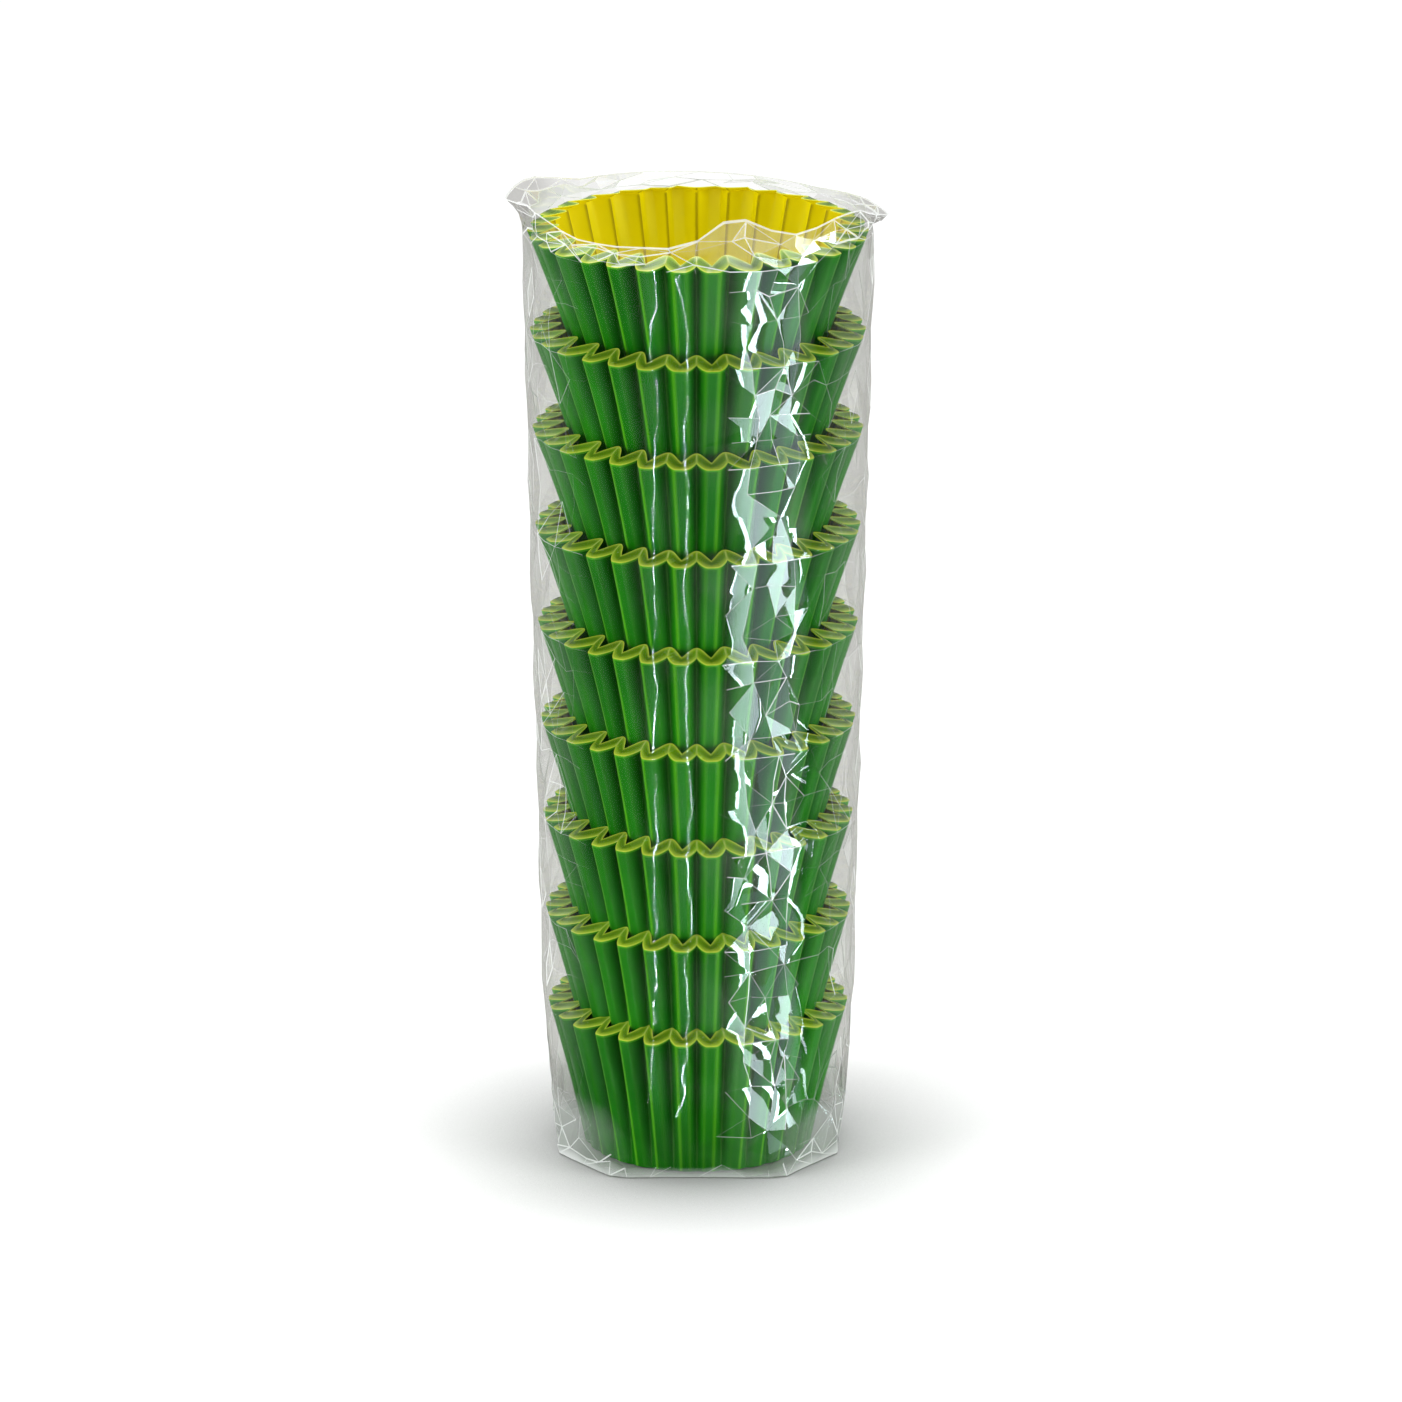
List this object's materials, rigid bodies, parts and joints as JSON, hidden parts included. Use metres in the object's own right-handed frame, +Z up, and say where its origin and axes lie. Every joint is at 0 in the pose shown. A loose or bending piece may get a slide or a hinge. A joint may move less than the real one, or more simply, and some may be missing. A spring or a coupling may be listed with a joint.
{
  "type": "stack of cupcake liners",
  "caption": "Stack of pleated paper cupcake liners, green outside and yellow inside, standing one in another in a clear film bag.",
  "frame": {"origin": "on the surface that the bag stands on, under the stack's axis, at the bottom centre of the bounding box", "axes": "+Z up along the stack's axis, -Y to the front"},
  "size_m": [0.08, 0.0744, 0.2123],
  "materials": {
    "liner_paper": "glossy greaseproof paper",
    "film": "clear glossy film"
  },
  "bodies": {
    "root": {"liner_1": "liner_paper", "liner_2": "liner_paper", "liner_3": "liner_paper", "liner_4": "liner_paper", "liner_5": "liner_paper", "liner_6": "liner_paper", "liner_7": "liner_paper", "liner_8": "liner_paper", "liner_9": "liner_paper", "film_bag": "film"}
  },
  "joints": []
}
